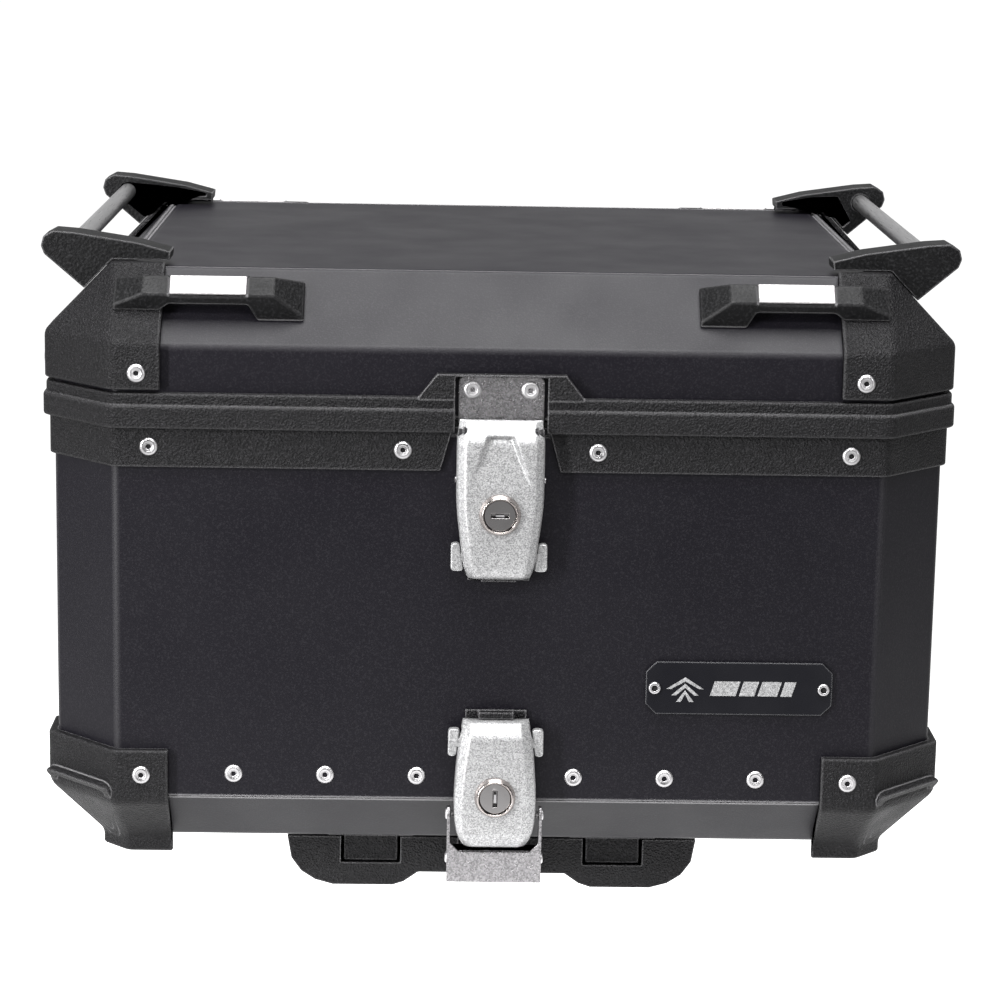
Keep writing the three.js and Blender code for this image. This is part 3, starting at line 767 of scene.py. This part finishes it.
def facing(at, direction):
    """A placement whose Z axis points along direction, in millimetres."""
    turn = Vector(direction).to_track_quat("Z", "Y").to_matrix().to_4x4()
    return Matrix.Translation(Vector(at)) @ turn


RIVET = [
    (4.4, -0.4), (4.4, 0.15), (4.15, 0.5), (3.5, 0.95), (2.9, 1.12), (2.3, 1.0), (2.0, 0.75),
    (1.8, 0.8), (1.5, 0.85), (1.25, 0.6), (1.2, -0.1),
]
RIVET_HOLE = [(1.2, -0.1), (0.0, -0.1)]


def rivet(bm, at, direction):
    """A blind rivet's head, with the hole in its middle."""
    place = facing(at, direction)
    turned(bm, RIVET, place, 28)
    turned(bm, RIVET_HOLE, place, 28, 1)


def around(x_places, y_places, z, offset):
    """Places on all four walls: given offsets along the front and along the sides."""
    places = []
    for x in x_places:
        for sy in (-1, 1):
            places.append(((x, sy * (HALF_D + offset), z), (0, sy, 0)))
    for y in y_places:
        for sx in (-1, 1):
            places.append(((sx * (HALF_W + offset), y, z), (sx, 0, 0)))
    return places


def both_sides(*values):
    return [s * v for v in values for s in (-1, 1)]


def rivets():
    """All blind rivets, in one piece for the case and one for the lid."""
    bottom_z, rim_z, lid_z = 72.9, 234.0, 269.3
    case_places = (
        around(both_sides(38, 82.3, 126.6), [0, *both_sides(44.5, 89)], bottom_z, 0)
        + around(both_sides(170.9), both_sides(134), bottom_z, GUARD)
        + around(both_sides(46.3, 166.6), both_sides(46, 129), rim_z, BAND)
    )
    lid_places = around(both_sides(172), both_sides(135), lid_z, GUARD)
    lid_places += [((x, -179.8, 263.3), (0, -1, 0)) for x in both_sides(13.7)]
    low, high = span("hinge_leaf_body")
    leaf_z = low.z + 0.42 * (high.z - low.z)
    hinge_x = both_sides(20, 60, 98)
    case_places += [((x, high.y, leaf_z), (0, 1, 0)) for x in hinge_x]
    low, high = span("hinge_leaf_lid")
    lid_places += [((x, high.y, high.z - 6.5), (0, 1, 0)) for x in hinge_x]
    for name, places, body in (
        ("case_rivets", case_places, "case"), ("lid_rivets", lid_places, "lid"),
    ):
        bm = bmesh.new()
        for at, direction in places:
            behind_hinge = at[1] > 180 and at[2] == rim_z and abs(at[0]) < 60
            if not behind_hinge:
                rivet(bm, at, direction)
        add_piece(name, bm, [RIVET_STEEL, SHADOW_BLACK], body)


def striker():
    """The plate on the lid that the upper lever closes over."""
    low, high = span("striker_bracket")
    half, top = high.x, high.z
    corners = [(half, low.z + 1), (half, top), (-half, top), (-half, low.z + 1)]
    points = [Vector((x, 0, z)) for x, z in corners]
    start = (points[0] + points[3]) / 2
    outline = bent([start, *points, start], 3)[:-1]
    bm = bmesh.new()
    prism(bm, outline, Vector((0, -179.9, 0)), Vector((0, -HALF_D - GAP, 0)))
    width = weighted(bm, sharp_rim(50, 0.35), 0.35)
    stand_in_for("striker_bracket", bm, width)


# ---------- latches ----------
def blend_between(value, low, high):
    """A smooth step from 0 at low to 1 at high."""
    t = min(max((value - low) / (high - low), 0), 1)
    return t * t * (3 - 2 * t)


class Latch:
    """One lever; s runs along it from the pivot, negative towards the free end."""

    def __init__(self, side, pivot, turn, rows, reaches, lock, slider, keyway):
        self.side, self.pivot, self.turn = side, pivot, turn
        self.rows, self.reaches = rows, reaches
        self.lock, self.slider, self.keyway = lock, slider, keyway

    def z(self, s):
        return self.pivot + self.turn * s


# rows: (half width, front, width of the side facet, s), each with a fillet's reach;
# keyway: half width and half height
UPPER = Latch(
    "upper", 244, 1,
    [
        (14.0, -181, 3.0, -71), (14.6, -188.6, 3.5, -71), (16.8, -191.8, 4.2, -65.5),
        (18.7, -193, 4.4, -52), (20.9, -193, 4.5, -34), (20.8, -193, 4.4, -3.5),
        (19.6, -186.4, 3.4, 5.6), (19.2, -184.5, 3.2, 6),
    ],
    [0, 2.5, 5, 8, 8, 3, 1.2, 0], lock=-38.3, slider=-60.5, keyway=(2.0, 0.5),
)
LOWER = Latch(
    "lower", 46, -1,
    [
        (15.6, -181, 4.0, -57), (16.0, -187.5, 4.4, -57), (17.2, -192.4, 5.0, -50),
        (18.6, -193, 4.8, -40), (19.9, -193, 4.2, -21), (19.6, -193, 3.6, -8),
        (17.9, -192.6, 3.2, 0), (14.6, -189, 3.0, 5.6), (13.5, -184.5, 3.0, 6),
    ],
    [0, 2.5, 2.5, 8, 6, 5, 3, 1.5, 0], lock=-20.8, slider=-46, keyway=(0.5, 2.0),
)
LEVER_FRONT = -193
RECESS_LOW, RECESS_HIGH = 218, 241.5


def recess(x, z):
    """Depth of the tapered recess above the upper lock."""
    rise = (z - RECESS_LOW) / (RECESS_HIGH - RECESS_LOW)
    floor_half = 13.2 - 8.4 * min(max(rise, 0), 1)
    across = 1 - blend_between(abs(x), floor_half, floor_half + 2.8)
    depth = 3.6 * min(max(rise, 0), 1)
    return depth * across * (1 - blend_between(z, RECESS_HIGH, RECESS_HIGH + 1.8))


def cover_path(latch, row):
    """A cross-section of the lever, from rear edge to rear edge."""
    w, front, facet, s = row
    rear = -180.6 if s < -7 else -183.2 if s < 2.5 else -184.4
    knee = min(front + 0.8 * facet, rear - 0.2)
    half = [(-w, rear), (-w, knee), (-w + facet, front)]
    points = half + [(-x, y) for x, y in reversed(half)]
    path = bent([Vector((x, y)) for x, y in points], 3.2, 5)
    middle = len(path) // 2
    left, right = path[:middle], path[middle:]
    columns = 44
    inner = [left[-1].lerp(right[0], k / columns) for k in range(1, columns)]
    side = [left[0].lerp(left[1], k / 8) for k in range(8)]
    other = [right[-2].lerp(right[-1], k / 8) for k in range(1, 9)]
    return [
        Vector((p.x, p.y, latch.z(s))) for p in [*side, *left[1:], *inner, *right[:-1], *other]
    ]


def latch_cover(latch):
    """A thin die-cast lever with holes for its lock and its release bar."""
    rows = fillet_rows([Vector(r) for r in latch.rows], latch.reaches, closed=False, steps=5)
    dense = [rows[0]]
    for a, b in zip(rows, rows[1:]):
        steps = max(1, math.ceil(abs(b[3] - a[3]) / 0.9))
        dense += [a.lerp(b, k / steps) for k in range(1, steps + 1)]
    bm = bmesh.new()
    paths = [cover_path(latch, row) for row in dense]
    if latch.side == "upper":
        for path in paths:
            for p in path:
                if p.y < -186:
                    p.y += recess(p.x, p.z)
    mesh_from_paths(bm, paths, closed=False)
    slot_low, slot_high = sorted((latch.z(latch.slider - 7.1), latch.z(latch.slider + 2.9)))
    lock = Vector((0, 0, latch.z(latch.lock)))
    doomed = []
    for face in bm.faces:
        c = face.calc_center_median() / MM
        ring = math.hypot(c.x, c.z - lock.z) < 9.2 and c.y < -188
        slot = slot_low < c.z < slot_high and c.y > -186.4
        if ring or slot:
            doomed.append(face)
    bmesh.ops.delete(bm, geom=doomed, context="FACES")
    node = f"{latch.side}_latch_cover"
    piece = stand_in_for(node, bm)
    centre = Vector((0, -0.188, latch.z(-30) * MM))
    facing_out = sum(
        (p.center - centre).dot(p.normal) > 0 for p in piece.data.polygons
    )
    thick = piece.modifiers.new("wall", "SOLIDIFY")
    thick.thickness = 1.8 * MM
    thick.offset = -1 if facing_out * 2 > len(piece.data.polygons) else 1
    thick.use_even_offset = False


BEZEL = [
    (7.75, -6), (9.9, -6), (9.9, 0.4), (9.75, 0.9), (8.75, 2.6), (8.45, 2.95), (8.05, 3.0),
    (7.8, 2.7), (7.75, -6),
]
PLUG_RIM = [(7.3, -2), (7.3, 1.45), (7.1, 1.75), (6.75, 1.8), (6.5, 1.55), (6.45, 1.2)]


def lock(latch):
    """The lock's ring, the rim round its plug and the shutter in the keyway."""
    z = latch.z(latch.lock)
    place = facing((0, LEVER_FRONT, z), (0, -1, 0))
    bm = bmesh.new()
    turned(bm, BEZEL, place, 48)
    stand_in_for(f"{latch.side}_lock_bezel", bm)
    bm = bmesh.new()
    turned(bm, PLUG_RIM, place, 48)
    add_piece(f"{latch.side}_plug_rim", bm, [LOOKS["chrome"]], f"{latch.side}_plug")
    softened(f"{latch.side}_lock_plug", 0.3, 0.3, look=PLUG_NICKEL)
    w, h = latch.keyway
    bm = bmesh.new()
    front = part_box(f"{latch.side}_lock_plug")[0].y / MM
    outline = [Vector((x, 0, z + dz)) for x, dz in ((-w, -h), (w, -h), (w, h), (-w, h))]
    prism(bm, outline, Vector((0, front + 0.12, 0)), Vector((0, front + 1.0, 0)))
    add_piece(
        f"{latch.side}_key_shutter", bm, [RIVET_STEEL], f"{latch.side}_plug",
        smooth=False,
    )


def release_ears(latch):
    """The rounded finger tabs at the ends of a release bar, close beside the cover."""
    low, high = span(f"{latch.side}_release_slider")
    ends = [latch.turn * (z - latch.pivot) for z in (low.z, high.z)]
    rows = sorted((row[3], row[0]) for row in latch.rows)
    bm = bmesh.new()
    for side in (-1, 1):
        inner = []
        for s in ends:
            (s0, w0), (s1, w1) = next(
                pair for pair in zip(rows, rows[1:]) if pair[1][0] >= s and pair[0] != pair[1]
            )
            inner.append(w0 + (w1 - w0) * (s - s0) / max(s1 - s0, 0.1) + 0.4)
        outline = [
            (inner[0], low.z - 0.1), (high.x + 0.1, low.z - 0.1),
            (high.x + 0.1, high.z + 0.1), (inner[1], high.z + 0.1),
        ]
        points = [Vector((side * x, 0, z)) for x, z in outline]
        start = (points[0] + points[3]) / 2
        rounded = bent([start, *points, start], 2.0)[:-1]
        prism(bm, rounded, Vector((0, low.y - 0.1, 0)), Vector((0, high.y + 0.1, 0)))
    width = weighted(bm, sharp_rim(50, 0.8), 0.8)
    piece = add_piece(
        f"{latch.side}_release_ears", bm, [LOOKS["die_cast"]], f"{latch.side}_release",
    )
    soften(piece, width, 3)


def link_pins():
    """Heads of the pins that carry the lower link and of the rivets below them."""
    bm = bmesh.new()
    head = [(2.6, -0.8), (2.6, 0.3), (2.3, 0.7), (1.4, 0.95), (0, 1.0)]
    for s in (-1, 1):
        for y, z in ((-184.5, 56), (-184.5, 34)):
            turned(bm, head, facing((s * 22.9, y, z), (s, 0, 0)), 24)
    add_piece("lower_link_pins", bm, [RIVET_STEEL], "lower_link")


# ---------- emblem ----------
def emblem():
    """An abstract mark in place of a badge: stacked chevrons and a row of slanted bars."""
    low, high = span("emblem_plate")
    centre_z = (low.z + high.z) / 2
    front = low.y
    bm = bmesh.new()

    def flat(points):
        prism(bm, [Vector((x, 0, centre_z + z)) for x, z in points],
              Vector((0, front - 0.25, 0)), Vector((0, front + 0.2, 0)))

    mark = low.x + 19
    for k in range(3):
        reach, z = 9.0 - 2.4 * k, 1.8 - 3.2 * k
        flat([(mark - reach, z - 2.2), (mark, z + 3.6), (mark + reach, z - 2.2),
              (mark + reach - 2.2, z - 2.2), (mark, z + 1.6), (mark - reach + 2.2, z - 2.2)])
    x = mark + 12
    for length in (14, 9, 11, 7):
        flat([(x, -3.6), (x + length - 1.6, -3.6), (x + length + 0.6, 3.6), (x + 2.2, 3.6)])
        x += length
    add_piece("emblem_mark", bm, [LOOKS["die_cast"]], "case", smooth=False)
    bm = bmesh.new()
    head = [(3.0, -0.2), (3.0, 0.7), (2.6, 1.2), (1.7, 1.35), (1.5, 1.2), (1.5, 0.4)]
    for x in (low.x + 4.2, high.x - 4.2):
        place = facing((x, front, centre_z), (0, -1, 0))
        turned(bm, head, place, 24)
        turned(bm, [(1.5, 0.4), (0, 0.4)], place, 6, 1)
    add_piece("emblem_screws", bm, [RIVET_STEEL, SHADOW_BLACK], "case")


PLUG_NICKEL = polished("plug_nickel", (0.3, 0.29, 0.29))
rivets()
striker()
for latch in (UPPER, LOWER):
    latch_cover(latch)
    lock(latch)
    release_ears(latch)
link_pins()
emblem()


# ---------- camera, floor and light ----------
def add_camera():
    """Looks at the front from a little above, slightly turned and rolled."""
    pitch, yaw, roll = (math.radians(a) for a in (11.732, -1.111, 1.030))
    level = Vector((math.cos(yaw), math.sin(yaw), 0))
    ahead = Vector((-math.sin(yaw), math.cos(yaw), 0))
    forward = math.cos(pitch) * ahead - math.sin(pitch) * Vector((0, 0, 1))
    upward = math.sin(pitch) * ahead + math.cos(pitch) * Vector((0, 0, 1))
    right = math.cos(roll) * level + math.sin(roll) * upward
    up = math.cos(roll) * upward - math.sin(roll) * level
    data = bpy.data.cameras.new("camera")
    data.sensor_width = 36
    data.lens = 110.1
    camera = bpy.data.objects.new("camera", data)
    columns = Matrix((right, up, -forward)).transposed().to_4x4()
    camera.matrix_world = Matrix.Translation((-0.0275, -1.6032, 0.506)) @ columns
    bpy.context.scene.collection.objects.link(camera)
    bpy.context.scene.camera = camera


def add_floor():
    """A pale floor that glows softly under and behind the object: painted light, which also
    paints out the object's shadow beneath it.
    """
    look = Look("floor", specular=0.1)
    place = look.node("ShaderNodeSeparateXYZ", {"Vector": look.place}).outputs
    shade = look.noise(2, 2)
    look.finish(
        look.blend(shade, (0.09, 0.09, 0.09), (0.1, 0.1, 0.1)),
        look.spread(shade, 0, 1, 0.8, 0.9),
        look.bump(look.noise(40, 2), 0.02, 0.001),
    )
    # painted light: the floor's glow is dimmer in front of the object and far to its sides
    front = look.spread(place["Y"], -0.75, -0.3)
    aside = look.math("ABSOLUTE", place["X"], 0.0)
    aside = look.math("SUBTRACT", aside, look.math("MULTIPLY", place["Y"], 0.17))
    side = look.spread(aside, 0.95, 0.45)
    glow = look.spread(look.math("MULTIPLY", front, side), 0, 1, 0.33, 1.0)
    distance = look.node("ShaderNodeVectorMath", {0: look.place}, operation="LENGTH")
    # painted light: a pool of glow under the object that hides its shadow
    under = look.spread(distance.outputs["Value"], 0.42, 0.15, 0.0, 1.3)
    look.tree.links.new(
        look.math("ADD", glow, under), look.shader.inputs["Emission Strength"]
    )
    look.shader.inputs["Emission Color"].default_value = (1, 1, 1, 1)
    bm = bmesh.new()
    bmesh.ops.create_grid(bm, x_segments=8, y_segments=8, size=20)
    mesh = bpy.data.meshes.new("floor")
    bm.to_mesh(mesh)
    bm.free()
    mesh.materials.append(look.material)
    floor = bpy.data.objects.new("floor", mesh)
    bpy.context.scene.collection.objects.link(floor)


def add_light(name, at, aim, size, power):
    data = bpy.data.lights.new(name, "AREA")
    data.shape = "RECTANGLE"
    data.size, data.size_y = size
    data.energy = power
    light = bpy.data.objects.new(name, data)
    light.visible_camera = False
    light.location = at
    light.rotation_euler = (Vector(aim) - Vector(at)).to_track_quat("-Z", "Y").to_euler()
    bpy.context.scene.collection.objects.link(light)


def add_world(front, rear):
    """Soft surround light, dimmer in front of the object than behind it."""
    world = bpy.data.worlds.new("studio")
    world.use_nodes = True
    tree = world.node_tree
    place = tree.nodes.new("ShaderNodeTexCoord")
    split = tree.nodes.new("ShaderNodeSeparateXYZ")
    fade = tree.nodes.new("ShaderNodeMapRange")
    fade.inputs["From Min"].default_value = -0.6
    fade.inputs["From Max"].default_value = 0.8
    fade.inputs["To Min"].default_value = front
    fade.inputs["To Max"].default_value = rear
    tree.links.new(place.outputs["Generated"], split.inputs[0])
    tree.links.new(split.outputs["Y"], fade.inputs["Value"])
    background = tree.nodes["Background"]
    background.inputs["Color"].default_value = (1, 1, 1, 1)
    tree.links.new(fade.outputs["Result"], background.inputs["Strength"])
    bpy.context.scene.world = world


add_camera()
add_floor()
add_world(front=0.06, rear=0.55)
# name, place, aim, size (metres), power (watts)
LIGHTS = [
    ("top", (0, -0.5, 1.9), (0, 0, 0.2), (1.6, 1.0), 78),
    ("left", (-1.05, -1.0, 0.46), (0, 0, 0.15), (0.12, 0.9), 26),
    ("right", (1.0, -1.15, 0.45), (0, 0, 0.15), (0.12, 0.8), 3),
    ("front_strip", (0, -1.35, 1.25), (0, 0, 0.25), (1.8, 0.12), 14),
]
for light in LIGHTS:
    add_light(*light)
bpy.context.scene.view_settings.view_transform = "Standard"
